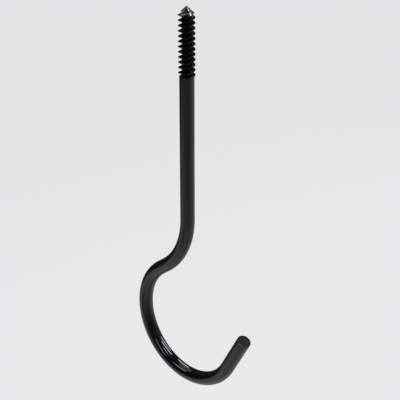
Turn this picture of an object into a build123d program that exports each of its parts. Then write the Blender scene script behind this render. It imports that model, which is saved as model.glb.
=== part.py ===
"""Screw hook: one length of round bar, threaded and pointed at its top end and bent into an open hook below."""

from build123d import *
from math import radians, tan
import os

# Round bar that the whole hook is made from, in millimetres
bar_diameter = 8.0
end_edge_radius = 0.2

# Lag thread rolled on the top end, measured up from the shoulder where it meets the plain shank
thread_length = 37.7
thread_pitch = 2.81
thread_crest_diameter = 9.1
thread_angle = 60.0
crest_land = 0.12
root_land = 0.24
first_crest_height = 0.33
run_out_height = 0.9

# Cone point that cuts across the last turns of the thread
point_angle = 92.0
point_tip_diameter = 0.3

# Bends of the bar, all in the XZ plane, from the shoulder down to the cut end
shank_length = 83.3
neck_bend_radius = 43.95
neck_bend_angle = 52.2
neck_straight_length = 5.2
bowl_inside_diameter = 61.9
bowl_sweep_angle = 203.9
arm_length = 25.2

# Sizes that follow from the ones above
bar_radius = bar_diameter / 2
bowl_bend_radius = bowl_inside_diameter / 2 + bar_radius
crest_radius = thread_crest_diameter / 2
flank_slope = tan(radians(thread_angle / 2))
root_radius = crest_radius - (thread_pitch - root_land - crest_land) / 2 / flank_slope
tip_radius = point_tip_diameter / 2
point_slope = tan(radians(point_angle / 2))

# The tooth's flanks run on below the root into the core, and close half of the root land there
tooth_base = thread_pitch - root_land / 2
tooth_base_radius = root_radius - root_land / 4 / flank_slope
tooth_start_height = first_crest_height - thread_pitch
tooth_length = thread_length + 2 * thread_pitch

# The trimming envelope stands a pitch outside the crests, where its two cones end
envelope_radius = crest_radius + thread_pitch
envelope_run_out = envelope_radius - bar_radius
envelope_cone_height = (envelope_radius - tip_radius) / point_slope

# Right-hand helical tooth on a core, both a pitch too long at each end
with BuildPart() as threaded_end:
    with BuildLine() as tooth_path:
        Helix(thread_pitch, tooth_length, root_radius, center=(0, 0, tooth_start_height))
    with BuildSketch(Plane.XZ.shift_origin((0, 0, tooth_start_height))):
        with BuildLine():
            Polyline(
                (tooth_base_radius, -tooth_base / 2),
                (crest_radius, -crest_land / 2),
                (crest_radius, crest_land / 2),
                (tooth_base_radius, tooth_base / 2),
                close=True,
            )
        make_face()
    sweep(path=tooth_path.line, is_frenet=True)
    with BuildSketch(Plane.XZ):
        with BuildLine():
            Polyline(
                (0, 0),
                (bar_radius, 0),
                (root_radius, run_out_height),
                (root_radius, tooth_length),
                (0, tooth_length),
                close=True,
            )
        make_face()
    revolve(axis=Axis.Z)
    # Trimmed square at the shoulder, with a 45 degree start to the crests, and to the cone point above
    with BuildSketch(Plane.XZ):
        with BuildLine():
            Polyline(
                (0, 0),
                (bar_radius, 0),
                (envelope_radius, envelope_run_out),
                (envelope_radius, thread_length - envelope_cone_height),
                (tip_radius, thread_length),
                (0, thread_length),
                close=True,
            )
        make_face()
    revolve(axis=Axis.Z, mode=Mode.INTERSECT)

# Bar swept along its centreline with its cut end just broken, then joined to the threaded end
with BuildPart() as screw_hook:
    with BuildLine(Plane.XZ) as centreline:
        shank = Line((0, 0), (0, -shank_length))
        neck = JernArc(shank @ 1, shank % 1, neck_bend_radius, -neck_bend_angle)
        slant = PolarLine(neck @ 1, neck_straight_length, direction=neck % 1)
        bowl = JernArc(slant @ 1, slant % 1, bowl_bend_radius, bowl_sweep_angle)
        arm = PolarLine(bowl @ 1, arm_length, direction=bowl % 1)
    with BuildSketch(Plane.XY):
        Circle(bar_radius)
    sweep(path=centreline.line)
    cut_end = screw_hook.faces().filter_by(GeomType.PLANE).sort_by_distance(arm @ 1)[0]
    fillet(cut_end.edges(), radius=end_edge_radius)
    add(threaded_end.part)

screw_hook.part.label = "screw_hook"
os.makedirs("parts", exist_ok=True)
export_step(screw_hook.part, "parts/screw_hook.step")
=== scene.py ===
"""Looks of the black screw hook: its fine mesh, its glossy coating, the stage and the light."""

from math import atan2, cos, hypot, inf, pi, radians, sin, tan

import bmesh
import bpy
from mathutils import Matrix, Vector


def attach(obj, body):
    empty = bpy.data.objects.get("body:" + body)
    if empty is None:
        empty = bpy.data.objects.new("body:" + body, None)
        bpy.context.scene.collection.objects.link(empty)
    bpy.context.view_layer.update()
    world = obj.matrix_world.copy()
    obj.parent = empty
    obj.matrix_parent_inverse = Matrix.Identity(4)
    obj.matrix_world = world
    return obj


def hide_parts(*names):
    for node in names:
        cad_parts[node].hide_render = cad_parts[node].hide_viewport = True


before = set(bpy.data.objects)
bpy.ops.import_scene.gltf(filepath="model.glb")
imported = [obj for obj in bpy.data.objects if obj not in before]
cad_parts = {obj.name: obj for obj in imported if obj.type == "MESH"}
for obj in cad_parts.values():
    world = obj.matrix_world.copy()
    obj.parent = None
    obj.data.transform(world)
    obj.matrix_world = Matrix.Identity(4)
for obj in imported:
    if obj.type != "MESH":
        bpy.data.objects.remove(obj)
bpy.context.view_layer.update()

MM = 0.001

# The bar and its thread, as in the CAD part
BAR_RADIUS = 4.0 * MM
END_EDGE = 0.2 * MM
THREAD_LENGTH = 37.7 * MM
PITCH = 2.81 * MM
CREST_RADIUS = 4.55 * MM
CREST_LAND = 0.12 * MM
ROOT_LAND = 0.24 * MM
FLANK_SLOPE = tan(radians(30.0))
ROOT_RADIUS = CREST_RADIUS - (PITCH - ROOT_LAND - CREST_LAND) / 2 / FLANK_SLOPE
FIRST_CREST = 0.33 * MM
RUN_OUT = 0.9 * MM
POINT_HALF_ANGLE = radians(46.0)
POINT_SLOPE = tan(POINT_HALF_ANGLE)
TIP_RADIUS = 0.15 * MM

# The bends, from the shoulder down to the cut end
SHANK_LENGTH = 83.3 * MM
NECK_RADIUS, NECK_TURN = 43.95 * MM, radians(52.2)
SLANT_LENGTH = 5.2 * MM
BOWL_RADIUS, BOWL_TURN = 34.95 * MM, radians(203.9)
ARM_LENGTH = 25.2 * MM

# Mesh density
AROUND = 96
AROUND_THREAD = 160
AROUND_ENVELOPE = 2 * AROUND_THREAD
BEND_STEP = radians(1.5)
STRAIGHT_STEP = 4.0 * MM
EDGE_STEPS = 6

# How far the bar and the thread reach into each other, so that they join cleanly
HIDDEN = 0.5 * MM
# A thin flat ring inside the broken edge, which keeps the shading of the cut end flat
END_RIM = 0.05 * MM
# Edges sharper than this are shaded sharp
SHARP_ANGLE = radians(28.0)
# A place on the bar stays with the earlier run unless the next one is nearer by this much
ROUNDING = 1e-9
# Turns of the thread to be cut off again, below the shoulder and in all
TURNS_BELOW, SPARE_TURNS = 2, 3
# How far a face's slope may be off the cone's, as the height of its normal
CONE_MARGIN = 0.02

X_AXIS, Y_AXIS, UP = Vector((1, 0, 0)), Vector((0, 1, 0)), Vector((0, 0, 1))


class Run:
    """One stretch of the centreline in the XZ plane: a straight, or an arc to either side."""

    def __init__(self, start, heading, length, turn=0.0):
        self.start, self.heading, self.length, self.turn = start, heading, length, turn
        self.radius = length / turn if turn else None

    def centre(self):
        """The middle of the arc."""
        x, z = self.start
        return x + self.radius * cos(self.heading), z + self.radius * sin(self.heading)

    def at(self, distance):
        """The point and heading this far along. A heading of 0 is straight down and grows towards +X."""
        if not self.turn:
            x, z = self.start
            return (x + sin(self.heading) * distance, z - cos(self.heading) * distance), self.heading
        end = self.heading + distance / self.radius
        centre_x, centre_z = self.centre()
        return (centre_x - self.radius * cos(end), centre_z - self.radius * sin(end)), end

    def place(self, x, z):
        """How far along this run and how far across it a point of the XZ plane lies."""
        if not self.turn:
            dx, dz = x - self.start[0], z - self.start[1]
            along = sin(self.heading) * dx - cos(self.heading) * dz
            return along, cos(self.heading) * dx + sin(self.heading) * dz
        centre_x, centre_z = self.centre()
        dx, dz = x - centre_x, z - centre_z
        side = 1 if self.radius > 0 else -1
        swept = atan2(-side * dz, -side * dx) - self.heading
        swept = (swept + pi - self.turn / 2) % (2 * pi) - pi + self.turn / 2
        return swept * self.radius, (abs(self.radius) - hypot(dx, dz)) * side

    def steps(self):
        """Distances of the rings along this run, without its last."""
        count = max(1, round(abs(self.turn) / BEND_STEP if self.turn else self.length / STRAIGHT_STEP))
        return [self.length * i / count for i in range(count)]


def centreline():
    """The bar's runs, each starting where the last one ends."""
    runs = []
    point, heading = (0.0, 0.0), 0.0
    for length, turn in (
        (SHANK_LENGTH, 0.0),
        (NECK_RADIUS * NECK_TURN, -NECK_TURN),
        (SLANT_LENGTH, 0.0),
        (BOWL_RADIUS * BOWL_TURN, BOWL_TURN),
        (ARM_LENGTH, 0.0),
    ):
        run = Run(point, heading, length, turn)
        runs.append(run)
        point, heading = run.at(length)
    return runs


def bar_frame(point, heading):
    """A point of the centreline, with the directions across the bar and along it in the hook's plane."""
    across, along = Vector((cos(heading), 0.0, sin(heading))), Vector((sin(heading), 0.0, -cos(heading)))
    return Vector((point[0], 0.0, point[1])), across, along


def skin(bm, rings):
    """Faces between neighbouring rings of the same count. The skin stays open at both ends."""
    for low, high in zip(rings, rings[1:]):
        for i in range(len(low)):
            j = (i + 1) % len(low)
            bm.faces.new((low[i], low[j], high[j], high[i]))


def ring(bm, centre, across, radius, around=AROUND):
    """A circle of vertices about centre, in the plane of across and Y."""
    angles = [2 * pi * i / around for i in range(around)]
    return [bm.verts.new(centre + radius * (cos(angle) * across + sin(angle) * Y_AXIS)) for angle in angles]


def close_end(bm, last, centre):
    """A fan that closes an open ring, and the vertex in its middle."""
    hub = bm.verts.new(centre)
    for i in range(len(last)):
        bm.faces.new((last[i], last[(i + 1) % len(last)], hub))
    return hub


def to_object(bm, name):
    """A linked object from a bmesh, with its faces turned outwards."""
    bmesh.ops.recalc_face_normals(bm, faces=bm.faces)
    mesh = bpy.data.meshes.new(name)
    bm.to_mesh(mesh)
    bm.free()
    obj = bpy.data.objects.new(name, mesh)
    bpy.context.scene.collection.objects.link(obj)
    return obj


def build_bar():
    """The bent bar from inside the thread's core to the cut end, whose edge is just broken."""
    bm = bmesh.new()
    core_top = UP * (RUN_OUT + HIDDEN)
    shoulder_slope = (BAR_RADIUS - ROOT_RADIUS) / RUN_OUT
    rings = [
        ring(bm, core_top, X_AXIS, ROOT_RADIUS - shoulder_slope * HIDDEN),
        ring(bm, UP * RUN_OUT, X_AXIS, ROOT_RADIUS),
        ring(bm, Vector(), X_AXIS, BAR_RADIUS),
    ]
    runs = centreline()
    for run in runs:
        for distance in run.steps():
            if run is runs[0] and distance == 0:
                continue
            point, across, _ = bar_frame(*run.at(distance))
            rings.append(ring(bm, point, across, BAR_RADIUS))
    end, across, out = bar_frame(*runs[-1].at(ARM_LENGTH))
    for step in range(EDGE_STEPS + 1):
        angle = pi / 2 * step / EDGE_STEPS
        setback, inset = END_EDGE * (1 - sin(angle)), END_EDGE * (1 - cos(angle))
        rings.append(ring(bm, end - out * setback, across, BAR_RADIUS - inset))
    rings.append(ring(bm, end, across, BAR_RADIUS - END_EDGE - END_RIM))
    skin(bm, rings)
    close_end(bm, rings[0], core_top)
    close_end(bm, rings[-1], end)
    return to_object(bm, "bent_bar")


def thread_profile():
    """One pitch of the V thread, as heights above the crest's middle with their radii."""
    depth = CREST_RADIUS - ROOT_RADIUS
    crest, root, half_flank = CREST_LAND / 2, ROOT_LAND / 2, depth * FLANK_SLOPE / 2
    return [
        (-crest, CREST_RADIUS),
        (crest, CREST_RADIUS),
        (crest + half_flank, CREST_RADIUS - depth / 2),
        (PITCH / 2 - root, ROOT_RADIUS),
        (PITCH / 2 + root, ROOT_RADIUS),
        (PITCH - crest - half_flank, CREST_RADIUS - depth / 2),
    ]


def helix_row(bm, height, radius):
    """One turn of vertices that climbs a pitch. The row a turn further up carries it on."""
    return [
        bm.verts.new((
            radius * cos(2 * pi * i / AROUND_THREAD),
            radius * sin(2 * pi * i / AROUND_THREAD),
            height + PITCH * i / AROUND_THREAD,
        ))
        for i in range(AROUND_THREAD)
    ]


def build_thread_rod():
    """The thread on its core, too long at both ends. Rows follow the helix, so its edges are crisp."""
    profile = thread_profile()
    start = FIRST_CREST - TURNS_BELOW * PITCH
    turns = int(THREAD_LENGTH / PITCH) + SPARE_TURNS
    bm = bmesh.new()
    rows = []
    for j in range((turns + 1) * len(profile) + 1):
        offset, radius = profile[j % len(profile)]
        rows.append(helix_row(bm, start + j // len(profile) * PITCH + offset, radius))

    def corner(j, i):
        """Row j closes on the row one turn further up."""
        return rows[j][i] if i < AROUND_THREAD else rows[j + len(profile)][0]

    top = turns * len(profile)
    for j in range(top):
        for i in range(AROUND_THREAD):
            bm.faces.new((corner(j, i), corner(j, i + 1), corner(j + 1, i + 1), corner(j + 1, i)))
    for j in (0, top):
        rim = rows[j] + [rows[j + k][0] for k in range(len(profile), 0, -1)]
        centre = sum((v.co for v in rim), Vector()) / len(rim)
        close_end(bm, rim, UP * centre.z)
    bmesh.ops.delete(bm, geom=[v for v in bm.verts if not v.link_faces], context="VERTS")
    return to_object(bm, "thread_rod")


def build_thread_envelope():
    """What the threaded rod is trimmed to: 45 degrees out from the shoulder, and the cone point above."""
    outer = CREST_RADIUS + PITCH
    outline = [
        (BAR_RADIUS - HIDDEN, -HIDDEN),
        (outer, outer - BAR_RADIUS),
        (outer, THREAD_LENGTH - (outer - TIP_RADIUS) / POINT_SLOPE),
        (TIP_RADIUS, THREAD_LENGTH),
    ]
    bm = bmesh.new()
    rings = [ring(bm, UP * z, X_AXIS, radius, AROUND_ENVELOPE) for radius, z in outline]
    skin(bm, rings)
    close_end(bm, rings[0], UP * -HIDDEN)
    close_end(bm, rings[-1], UP * THREAD_LENGTH)
    return to_object(bm, "thread_envelope")


def combine(target, tool, operation):
    """Applies a boolean of two closed meshes to the first, and removes the second."""
    modifier = target.modifiers.new(operation.lower(), "BOOLEAN")
    modifier.operation, modifier.object, modifier.solver = operation, tool, "MANIFOLD"
    graph = bpy.context.evaluated_depsgraph_get()
    mesh = bpy.data.meshes.new_from_object(target.evaluated_get(graph))
    target.modifiers.clear()
    target.data = mesh
    bpy.data.objects.remove(tool)


def straightened(co, runs):
    """Where a point of the hook would be on the straight bar: across, depth and distance along."""
    nearest, place = inf, None
    gone = 0.0
    for run in runs:
        along, across = run.place(co.x, co.z)
        low = -inf if run is runs[0] else 0.0
        high = inf if run is runs[-1] else run.length
        miss = hypot(across, along - min(max(along, low), high))
        if miss < nearest - ROUNDING:
            nearest, place = miss, (across, co.y, gone + along)
        gone += run.length
    return place


def build_hook():
    """The whole hook as one closed mesh. An attribute keeps each point's place on the straight bar."""
    thread = build_thread_rod()
    combine(thread, build_thread_envelope(), "INTERSECT")
    hook = build_bar()
    combine(hook, thread, "UNION")
    hook.name = hook.data.name = "hook"
    runs = centreline()
    layer = hook.data.attributes.new("on_bar", "FLOAT_VECTOR", "POINT")
    for vertex in hook.data.vertices:
        layer.data[vertex.index].vector = straightened(vertex.co, runs)
    hook.data.polygons.foreach_set("use_smooth", [True] * len(hook.data.polygons))
    hook.data.set_sharp_from_angle(angle=SHARP_ANGLE)
    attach(hook, "root")
    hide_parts("screw_hook")
    return hook


def face_mask(mesh, name, test):
    """A face attribute that is 1 where the test says so, for the coating to read."""
    layer = mesh.attributes.new(name, "FLOAT", "FACE")
    layer.data.foreach_set("value", [float(test(face)) for face in mesh.polygons])


def mark_faces(hook):
    """Marks the ground cone, all that faces up beside it, the arm's cut end and the thread."""
    cone_rise = sin(POINT_HALF_ANGLE)
    point_base = THREAD_LENGTH - CREST_RADIUS / POINT_SLOPE - PITCH / 2
    end, _, out = bar_frame(*centreline()[-1].at(ARM_LENGTH))

    def by_point(face):
        return face.center.z > point_base and face.normal.z > cone_rise - CONE_MARGIN

    def on_point(face):
        return by_point(face) and face.normal.z < cone_rise + CONE_MARGIN

    def on_end(face):
        return (face.center - end).dot(out) > -END_EDGE and face.center.z < end.z + BAR_RADIUS

    def on_thread(face):
        return face.center.z > 0 and not on_point(face)

    for name, test in (
        ("on_point", on_point),
        ("by_point", by_point),
        ("on_end", on_end),
        ("on_thread", on_thread),
    ):
        face_mask(hook.data, name, test)


def shader_node(tree, kind, inputs=(), **settings):
    """A node with its settings. Its inputs are values or the outputs of other nodes, by socket."""
    node = tree.nodes.new(kind)
    for name, value in settings.items():
        setattr(node, name, value)
    for socket, value in dict(inputs).items():
        if isinstance(value, bpy.types.NodeSocket):
            tree.links.new(value, node.inputs[socket])
        else:
            node.inputs[socket].default_value = value
    return node


def output_of(tree, kind, inputs=(), output=0, **settings):
    """One output of a new node."""
    return shader_node(tree, kind, inputs, **settings).outputs[output]


def calculated(tree, operation, first, second, **settings):
    """The result of a Math node."""
    return output_of(tree, "ShaderNodeMath", {0: first, 1: second}, operation=operation, **settings)


def new_material(name):
    """An empty material with its output node."""
    material = bpy.data.materials.new(name)
    material.use_nodes = True
    material.node_tree.nodes.clear()
    return material, material.node_tree, material.node_tree.nodes.new("ShaderNodeOutputMaterial")


# The coating and the bare steel
COAT_BLACK = (0.0006, 0.0009, 0.0028, 1.0)
BARE_STEEL = (0.24, 0.24, 0.245, 1.0)
COAT_IOR = 1.52
COAT_TINT = (0.88, 0.925, 1.0, 1.0)

# Roughness: of the gloss, what the draw lines add to it, and of the places that are duller
GLOSS_ROUGHNESS = (0.07, 0.12)
LINES_ROUGHNESS = (-0.03, 0.03)
DULL_PLACES = (("on_thread", 0.15), ("on_end", 0.19), ("by_point", 0.35), ("on_point", 0.2))

# Noise: cells for each millimetre, or round the bar for the scratches, with its detail
LINES_SCALE, LINES_DETAIL, LINES_STRETCH = 1.1, 3.0, 0.02
PEEL_SCALE, PEEL_DETAIL = 0.8, 2.0
CLOUDS_SCALE, CLOUDS_DETAIL = 0.12, 3.0
SCRATCHES_SCALE, SCRATCHES_DETAIL = 6.0, 1.0
NOISE_LOW, NOISE_HIGH = 0.3, 0.7
BARE_SHARE = (-1.2, 1.0)
SCRATCHES_DEPTH, LINES_DEPTH, PEEL_DEPTH = 0.06 * MM, 0.0012 * MM, 0.0004 * MM

# Sockets of the Mix node that go by number
FLOAT_A, FLOAT_B, COLOUR_A, COLOUR_B, MIXED_COLOUR = 2, 3, 6, 7, 2


def mask_of(tree, name):
    """What a mesh attribute of single numbers says."""
    return output_of(tree, "ShaderNodeAttribute", output="Fac", attribute_name=name)


def place_on_bar(tree, along=1.0):
    """The place on the straight bar in millimetres. A share along it draws a pattern out that way."""
    place = output_of(tree, "ShaderNodeAttribute", output="Vector", attribute_name="on_bar")
    factors = (1 / MM, 1 / MM, along / MM)
    return output_of(tree, "ShaderNodeVectorMath", {0: place, 1: factors}, operation="MULTIPLY")


def noise(tree, place, scale, detail):
    """Soft noise at a place."""
    inputs = {"Vector": place, "Scale": scale, "Detail": detail}
    return output_of(tree, "ShaderNodeTexNoise", inputs, "Fac")


def ranged(tree, value, low, high):
    """The middle of the noise's values spread from low to high."""
    inputs = {"Value": value, "From Min": NOISE_LOW, "From Max": NOISE_HIGH, "To Min": low, "To Max": high}
    return output_of(tree, "ShaderNodeMapRange", inputs, "Result")


def bumped(tree, height, depth, strength, normal=None):
    """The surface's direction with a height's slopes added to it."""
    inputs = {"Strength": strength, "Distance": depth, "Height": height}
    if normal is not None:
        inputs["Normal"] = normal
    return output_of(tree, "ShaderNodeBump", inputs, "Normal")


def coat_roughness(tree, lines):
    """Gloss with slow clouds and fine lines, duller in the thread, on the cut end and round the point."""
    clouds = noise(tree, place_on_bar(tree), CLOUDS_SCALE, CLOUDS_DETAIL)
    gloss = ranged(tree, clouds, *GLOSS_ROUGHNESS)
    roughness = calculated(tree, "ADD", ranged(tree, lines, *LINES_ROUGHNESS), gloss)
    for name, dull in DULL_PLACES:
        inputs = {"Factor": mask_of(tree, name), FLOAT_A: roughness, FLOAT_B: dull}
        roughness = output_of(tree, "ShaderNodeMix", inputs)
    return roughness


def coat_surface(tree, lines, scratches):
    """Scratches round the point, and draw lines and orange peel everywhere but on the cut end."""
    drawn = calculated(tree, "SUBTRACT", 1.0, mask_of(tree, "on_end"))
    peel = noise(tree, place_on_bar(tree), PEEL_SCALE, PEEL_DETAIL)
    ground = bumped(tree, scratches, SCRATCHES_DEPTH, mask_of(tree, "by_point"))
    ridged = bumped(tree, lines, LINES_DEPTH, drawn, ground)
    return bumped(tree, peel, PEEL_DEPTH, drawn, ridged)


def coating_material():
    """Black gloss on drawn bar, with streaks of bare steel where the cone point was ground."""
    material, tree, output = new_material("black_coating")
    lines = noise(tree, place_on_bar(tree, LINES_STRETCH), LINES_SCALE, LINES_DETAIL)
    round_bar = output_of(tree, "ShaderNodeVectorMath", {0: place_on_bar(tree, 0.0)}, operation="NORMALIZE")
    scratches = noise(tree, round_bar, SCRATCHES_SCALE, SCRATCHES_DETAIL)
    streaks = ranged(tree, scratches, *BARE_SHARE)
    bare = calculated(tree, "MULTIPLY", streaks, mask_of(tree, "on_point"), use_clamp=True)
    colours = {0: bare, COLOUR_A: COAT_BLACK, COLOUR_B: BARE_STEEL}
    shader = output_of(tree, "ShaderNodeBsdfPrincipled", {
        "Base Color": output_of(tree, "ShaderNodeMix", colours, MIXED_COLOUR, data_type="RGBA"),
        "Metallic": bare,
        "Roughness": coat_roughness(tree, lines),
        "IOR": COAT_IOR,
        "Specular Tint": COAT_TINT,
        "Normal": coat_surface(tree, lines, scratches),
    }, "BSDF")
    tree.links.new(shader, output.inputs["Surface"])
    return material


# The camera, at the photograph's viewing angle
CAMERA_PLACE = Vector((0.41926, -0.42612, 0.21736))
CAMERA_AZIMUTH, CAMERA_ELEVATION = radians(43.88), radians(25.79)
CAMERA_LENS, SENSOR_WIDTH = 109.62, 36.0
CAMERA_CLIP = (0.01, 50.0)


def add_camera():
    """The camera, turned and tilted to the photograph's angles and not rolled."""
    back = Vector((
        sin(CAMERA_AZIMUTH) * cos(CAMERA_ELEVATION),
        -cos(CAMERA_AZIMUTH) * cos(CAMERA_ELEVATION),
        sin(CAMERA_ELEVATION),
    ))
    data = bpy.data.cameras.new("camera")
    data.lens, data.sensor_width = CAMERA_LENS, SENSOR_WIDTH
    data.clip_start, data.clip_end = CAMERA_CLIP
    camera = bpy.data.objects.new("camera", data)
    camera.location = CAMERA_PLACE
    camera.rotation_mode = "QUATERNION"
    camera.rotation_quaternion = (-back).to_track_quat("-Z", "Y")
    bpy.context.scene.collection.objects.link(camera)
    bpy.context.scene.camera = camera


# The pale floor a metre below the hook, and the same tone all round
PALE = (0.776, 0.784, 0.815, 1.0)
FLOOR_LEVEL = -1.2
FLOOR_HALF = 8.0
SELF_LIT_SHARE = 0.9
SELF_LIT_STRENGTH = 1.04
FILL_STRENGTH = 0.35


def seen_directly(tree):
    """1 for rays from the camera, off gloss and through glass, 0 for the rest."""
    path = shader_node(tree, "ShaderNodeLightPath").outputs
    indirect = calculated(tree, "MAXIMUM", path["Is Glossy Ray"], path["Is Transmission Ray"])
    return calculated(tree, "MAXIMUM", path["Is Camera Ray"], indirect)


def add_floor():
    """A floor whose tone is mostly its own, with a share of real light for the shadow."""
    material, tree, output = new_material("pale_floor")
    share = calculated(tree, "MULTIPLY", seen_directly(tree), SELF_LIT_SHARE)
    lit = output_of(tree, "ShaderNodeBsdfDiffuse", {"Color": PALE})
    own = output_of(tree, "ShaderNodeEmission", {"Color": PALE, "Strength": SELF_LIT_STRENGTH})
    mix = output_of(tree, "ShaderNodeMixShader", {0: share, 1: lit, 2: own})
    tree.links.new(mix, output.inputs["Surface"])
    bm = bmesh.new()
    bmesh.ops.create_grid(bm, x_segments=1, y_segments=1, size=FLOOR_HALF)
    bmesh.ops.translate(bm, vec=(0, 0, FLOOR_LEVEL), verts=bm.verts)
    floor = to_object(bm, "floor")
    floor.data.materials.append(material)


def set_world():
    """The backdrop's tone as seen, and a soft even fill for what the light falls on."""
    world = bpy.data.worlds.new("studio")
    bpy.context.scene.world = world
    world.use_nodes = True
    tree = world.node_tree
    tree.nodes.clear()
    fill = output_of(tree, "ShaderNodeBackground", {"Color": PALE, "Strength": FILL_STRENGTH})
    backdrop = output_of(tree, "ShaderNodeBackground", {"Color": PALE})
    mix = output_of(tree, "ShaderNodeMixShader", {0: seen_directly(tree), 1: fill, 2: backdrop})
    output = shader_node(tree, "ShaderNodeOutputWorld", {"Surface": mix})
    output.is_active_output = True


# The dark tent, seen only in the gloss: an upright wall round the hook, under a wide dome. It paints dark
# and grey reflections into the coating and glows its own grey, but it is no real cloth and stops no light.
# Angles are in degrees. Azimuths start at the camera's and grow to its right.
TENT_MIDDLE = -0.08
TENT_RADIUS, DOME_RADIUS = 1.5, 4.0
WALL_TOP, DOME_FOOT = 4, 12
TENT_LOW, TENT_HIGH = -80, 90
ELEVATION_STEP, AZIMUTH_STEP = 2, 3
FLOOR_GAP = 0.01
# How its open lower edge fades out, side by side round the hook
TENT_PANELS = (
    # azimuth, elevation where all is dark, elevation where it is most open, share hidden there
    (-180, -16, -44, 0.55),
    (-150, -20, -40, 0.20),
    (-130, -18, -38, 0.05),
    (-115, -12, -48, 0.05),
    (-100, -7, -41, 0.05),
    (-90, -8, -32, 0.05),
    (-76, -12, -25, 0.00),
    (-60, 2, -40, 0.10),
    (-45, 6, -50, 0.18),
    (15, 12, -76, 0.18),
    (45, 10, -60, 0.20),
    (60, 8, -46, 0.20),
    (78, 6, -32, 0.20),
    (95, 6, -18, 0.20),
    (110, 2, -16, 0.18),
    (125, -2, -18, 0.35),
    (140, -4, -22, 0.50),
    (160, -10, -30, 0.60),
    (180, -16, -44, 0.60),
)
# Small dark patches of painted reflection below that edge
PAINTED_DARK_PATCHES = (
    # azimuth and elevation of the middle, half width, half height, share hidden
    (-58, -33, 20, 12, 0.75),
    (115, -50, 45, 22, 0.45),
)
PATCH_SOFTNESS = 1.5
# The greys it glows with, as painted reflection: all round, overhead from one elevation to another, and
# what two sides add at most
TENT_TONE, TOP_TONE = 0.05, 0.10
TOP_TONE_FROM, TOP_TONE_TO = 35, 65
FRONT_TONE, FRONT_AZIMUTH = 0.07, 15.0
RIGHT_TONE, RIGHT_AZIMUTH, RIGHT_FOCUS = 0.30, 90.0, 4


def smooth_step(value):
    """0 below 0, 1 above 1, and a smooth rise between them."""
    value = min(max(value, 0.0), 1.0)
    return value * value * (3.0 - 2.0 * value)


def tent_opacity(azimuth, elevation):
    """How much of the reflection the tent paints dark in a direction, both angles in degrees."""
    for low, high in zip(TENT_PANELS, TENT_PANELS[1:]):
        if azimuth <= high[0]:
            break
    share = smooth_step((azimuth - low[0]) / (high[0] - low[0]))
    dark, clear, veil = (a + (b - a) * share for a, b in zip(low[1:], high[1:]))
    hidden = max(veil, smooth_step((elevation - clear) / (dark - clear)))
    for middle, height, half_width, half_height, cover in PAINTED_DARK_PATCHES:
        reach = hypot((azimuth - middle) / half_width, (elevation - height) / half_height)
        hidden = max(hidden, cover * smooth_step(PATCH_SOFTNESS * (1.0 - reach)))
    return hidden


def painted_reflection_grey(azimuth, elevation):
    """The grey the tent glows with, as painted reflection: a little lighter in front, and lighter still on
    the right.
    """
    front = FRONT_TONE * max(0.0, cos(radians(azimuth - FRONT_AZIMUTH)))
    right = RIGHT_TONE * max(0.0, cos(radians(azimuth - RIGHT_AZIMUTH))) ** RIGHT_FOCUS
    side = TENT_TONE + front + right
    overhead = smooth_step((elevation - TOP_TONE_FROM) / (TOP_TONE_TO - TOP_TONE_FROM))
    return side + (TOP_TONE - side) * overhead


def tent_reach(elevation):
    """How far its sheet is from the tent's upright axis in a direction, always above the floor."""
    if elevation > DOME_FOOT:
        return DOME_RADIUS * cos(radians(elevation))
    flare = smooth_step((elevation - WALL_TOP) / (DOME_FOOT - WALL_TOP))
    reach = TENT_RADIUS + (DOME_RADIUS - TENT_RADIUS) * flare
    if elevation < 0:
        reach = min(reach, (TENT_MIDDLE - FLOOR_LEVEL - FLOOR_GAP) / -tan(radians(elevation)))
    return reach


def only_in_gloss(obj):
    """Leaves an object to glossy rays alone: no camera sees it and it stops no light."""
    obj.visible_camera = obj.visible_diffuse = obj.visible_shadow = False
    obj.visible_transmission = obj.visible_volume_scatter = False


def from_camera_side(azimuth):
    """The level direction at this azimuth from the camera's, in degrees."""
    turn = CAMERA_AZIMUTH + radians(azimuth)
    return Vector((sin(turn), -cos(turn), 0.0))


def tent_mesh():
    """The tent as one mesh, with how much of the reflection it paints dark and the grey it glows with at
    each vertex.
    """
    bm = bmesh.new()
    opacity = bm.verts.layers.float.new("opacity")
    tone = bm.verts.layers.float.new("tone")
    rings = []
    for elevation in range(TENT_LOW, TENT_HIGH, ELEVATION_STEP):
        reach = tent_reach(elevation)
        height = TENT_MIDDLE + reach * tan(radians(elevation))
        row = []
        for azimuth in range(-180, 180, AZIMUTH_STEP):
            vertex = bm.verts.new(from_camera_side(azimuth) * reach + UP * height)
            vertex[opacity] = tent_opacity(azimuth, elevation)
            vertex[tone] = painted_reflection_grey(azimuth, elevation)
            row.append(vertex)
        rings.append(row)
    skin(bm, rings)
    hub = close_end(bm, rings[-1], UP * (TENT_MIDDLE + DOME_RADIUS))
    hub[opacity], hub[tone] = 1.0, TENT_TONE
    return to_object(bm, "dark_tent")


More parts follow.
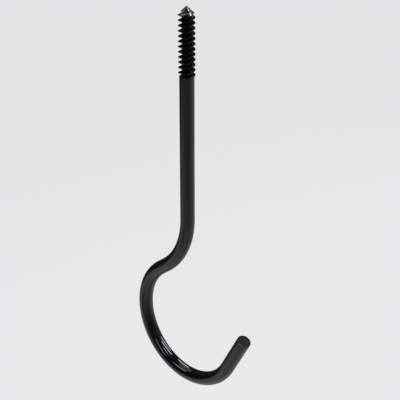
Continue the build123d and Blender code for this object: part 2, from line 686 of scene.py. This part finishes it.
def add_tent():
    """A sheet above and round the hook that only glossy rays see. It paints dark and grey reflections into
    the black gloss and glows its own grey.
    """
    tent = tent_mesh()
    material, tree, output = new_material("painted_reflection_sheet")
    # painted shade in the reflections: where the sheet hides the pale floor and world
    hides = mask_of(tree, "opacity")
    grey = output_of(tree, "ShaderNodeAttribute", output="Color", attribute_name="tone")
    open_air = output_of(tree, "ShaderNodeBsdfTransparent")
    # painted reflection: the sheet glows this grey, seen only by glossy rays
    painted_glow = output_of(tree, "ShaderNodeEmission", {"Color": grey})
    mix = output_of(tree, "ShaderNodeMixShader", {0: hides, 1: open_air, 2: painted_glow})
    tree.links.new(mix, output.inputs["Surface"])
    tent.data.materials.append(material)
    only_in_gloss(tent)


# Strip lamps overhead. Places are slopes: metres to the side for each metre up from the bowl's saddle.
LAMP_HEIGHT = 1.2
SADDLE_LEVEL = -0.18
LAMP_STRIPS = (
    # name, slope from and to in X, slope from and to in Y, brightness where white is 1
    ("front_far", -0.12, 1.12, -2.45, -1.85, 4.8),
    ("front_near", 0.22, 0.50, -0.49, -0.31, 7.6),
    ("back_near", 0.11, 0.82, 0.34, 0.54, 19.0),
    ("back_far_1", -0.04, 1.12, 1.62, 1.86, 16.0),
    ("back_far_2", -0.04, 1.12, 2.05, 2.30, 16.0),
    ("left_front", -1.05, -0.36, -1.14, -0.88, 8.0),
    ("left_middle_1", -1.05, -0.34, -0.34, -0.24, 4.0),
    ("left_middle_2", -1.05, -0.24, -0.06, 0.06, 8.0),
    ("left_middle_3", -1.05, -0.28, 0.24, 0.34, 6.0),
    ("left_back", -1.02, -0.33, 0.78, 1.12, 12.5),
)


def add_strip(name, x_low, x_high, y_low, y_high, brightness):
    """One strip lamp facing down, with the power that gives its face this brightness."""
    data = bpy.data.lights.new(name, "AREA")
    data.shape = "RECTANGLE"
    data.size, data.size_y = (x_high - x_low) * LAMP_HEIGHT, (y_high - y_low) * LAMP_HEIGHT
    data.energy = brightness * pi * data.size * data.size_y
    lamp = bpy.data.objects.new(name, data)
    lamp.location = (
        (x_low + x_high) / 2 * LAMP_HEIGHT,
        (y_low + y_high) / 2 * LAMP_HEIGHT,
        SADDLE_LEVEL + LAMP_HEIGHT,
    )
    lamp.visible_camera = False
    bpy.context.scene.collection.objects.link(lamp)


hook = build_hook()
mark_faces(hook)
hook.data.materials.clear()
hook.data.materials.append(coating_material())

add_camera()
add_floor()
set_world()
add_tent()
for strip in LAMP_STRIPS:
    add_strip(*strip)
bpy.context.scene.view_settings.view_transform = "Standard"
